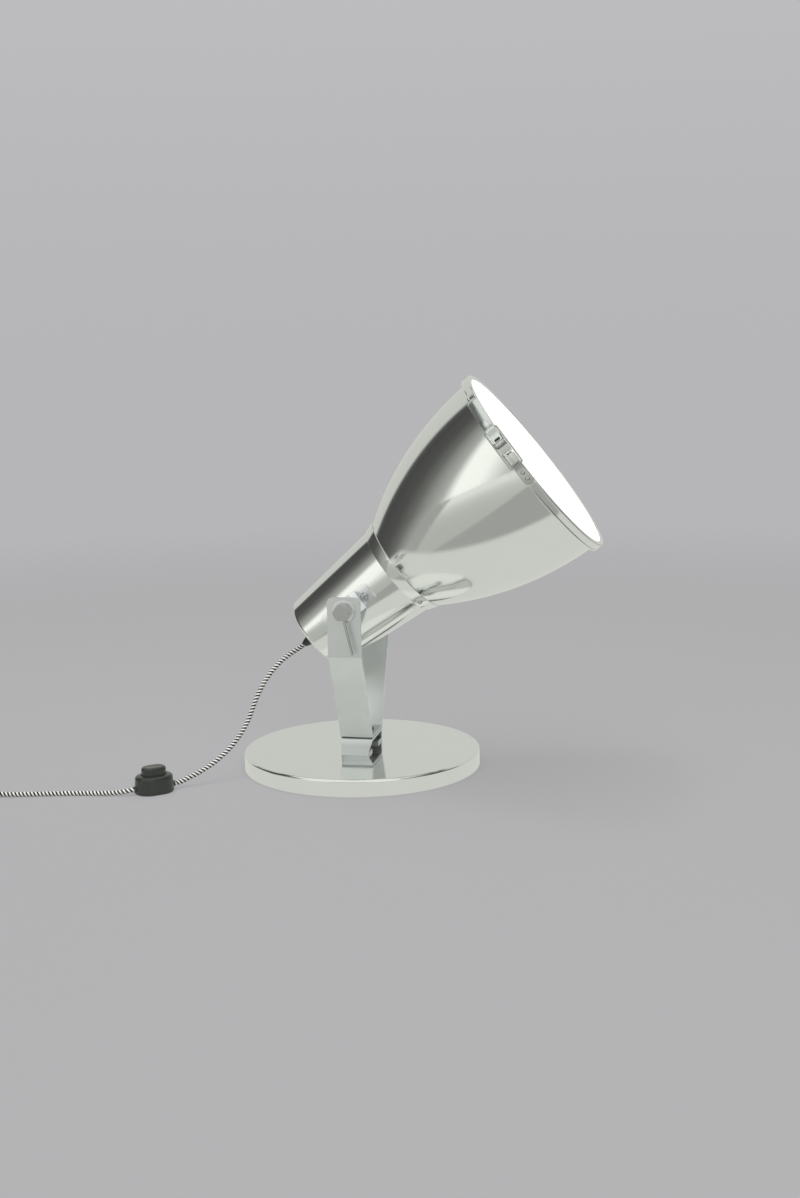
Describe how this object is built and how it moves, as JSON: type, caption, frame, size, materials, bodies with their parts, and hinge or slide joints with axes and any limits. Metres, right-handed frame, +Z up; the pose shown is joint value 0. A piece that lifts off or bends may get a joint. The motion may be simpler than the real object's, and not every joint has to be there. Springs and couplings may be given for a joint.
{
  "type": "floor uplighter",
  "caption": "Floor uplighter with a bell-shaped metal head tilting in a strip yoke on a weighted round base, a latched glass front and a braided flex with a foot switch.",
  "frame": {"origin": "centre of the base's underside, on the floor", "axes": "+Z up, +X the way the head aims in plan, Y along the head's tilt axis with the latch on the -Y side"},
  "size_m": [0.9862, 0.5166, 0.5708],
  "materials": {
    "polished_aluminium": "polished, spun",
    "satin_steel": "satin, zinc plated",
    "plain_steel": "plain",
    "ballast_iron": "as cast",
    "felt": "pressed felt",
    "black_rubber": "matt",
    "opal_glass": "diffusing",
    "white_plastic": "glossy",
    "black_plastic": "satin moulded",
    "braided_flex": "black and white braid",
    "tie_strap": "woven strap"
  },
  "bodies": {
    "base": {"base_cover": "polished_aluminium", "ballast_plate": "ballast_iron", "bottom_plate": "plain_steel", "base_felt": "felt", "foot_bracket": "satin_steel", "foot_bolts": "plain_steel", "foot_nuts": "plain_steel", "yoke": "satin_steel", "yoke_bolts": "plain_steel", "yoke_nuts": "plain_steel", "cord_lead": "braided_flex", "switch_base": "black_plastic", "switch_cover": "black_plastic", "switch_contacts": "white_plastic", "switch_spring": "plain_steel", "cord_floor": "braided_flex", "cord_coil": "braided_flex", "coil_tie": "tie_strap", "plug_body": "black_plastic", "plug_pins": "plain_steel"},
    "head": {"lamp_housing": "polished_aluminium", "bracket_near": "satin_steel", "bracket_far": "satin_steel", "bracket_rivets": "polished_aluminium", "bracket_nuts": "plain_steel", "pivot_bolt": "plain_steel", "pivot_washer": "satin_steel", "collar_ring": "polished_aluminium", "collar_screws": "plain_steel", "reflector_bell": "polished_aluminium", "front_gasket": "black_rubber", "lens_glass": "opal_glass", "front_ring": "polished_aluminium", "latch_hook": "satin_steel", "latch_rivets": "plain_steel", "latch_base": "satin_steel", "latch_pin": "plain_steel", "holder_plate": "plain_steel", "holder_posts": "plain_steel", "lamp_holder": "white_plastic", "bulb_cap": "plain_steel", "bulb_glass": "opal_glass", "terminal_block": "white_plastic", "inner_cable": "braided_flex", "gland_nut": "black_plastic", "cable_gland": "black_plastic"},
    "clamp": {"clamp_screw": "plain_steel", "tommy_bar": "plain_steel", "clamp_washer": "satin_steel"},
    "lever": {"latch_lever": "satin_steel"},
    "bail": {"latch_bail": "plain_steel"},
    "button": {"switch_button": "black_plastic"}
  },
  "joints": [
    {"name": "head_tilt", "type": "hinge", "parent": "base", "child": "head", "pos_m": [0, 0, 0.246], "axis": [0, -1, 0], "range_deg": [-40, 52], "deforming": ["cord_lead"]},
    {"name": "clamp_turn", "type": "hinge", "parent": "base", "child": "clamp", "pos_m": [0, -0.1, 0.246], "axis": [0, 1, 0], "range_deg": [0, 180]},
    {"name": "latch_open", "type": "hinge", "parent": "head", "child": "lever", "pos_m": [0.22972, -0.15054, 0.48206], "axis": [0.788, 0, 0.6157], "range_deg": [0, 110]},
    {"name": "bail_swing", "type": "hinge", "parent": "lever", "child": "bail", "pos_m": [0.21593, -0.14365, 0.49971], "axis": [0.788, 0, 0.6157], "range_deg": [-110, 0]},
    {"name": "button_press", "type": "slide", "parent": "base", "child": "button", "axis": [0, 0, -1], "range_m": [0, 0.003], "stiffness_N_per_m": 600, "deforming": ["switch_spring"]}
  ],
  "couplings": [
    {"joint": "bail_swing", "follows": "latch_open", "ratio": -1}
  ]
}
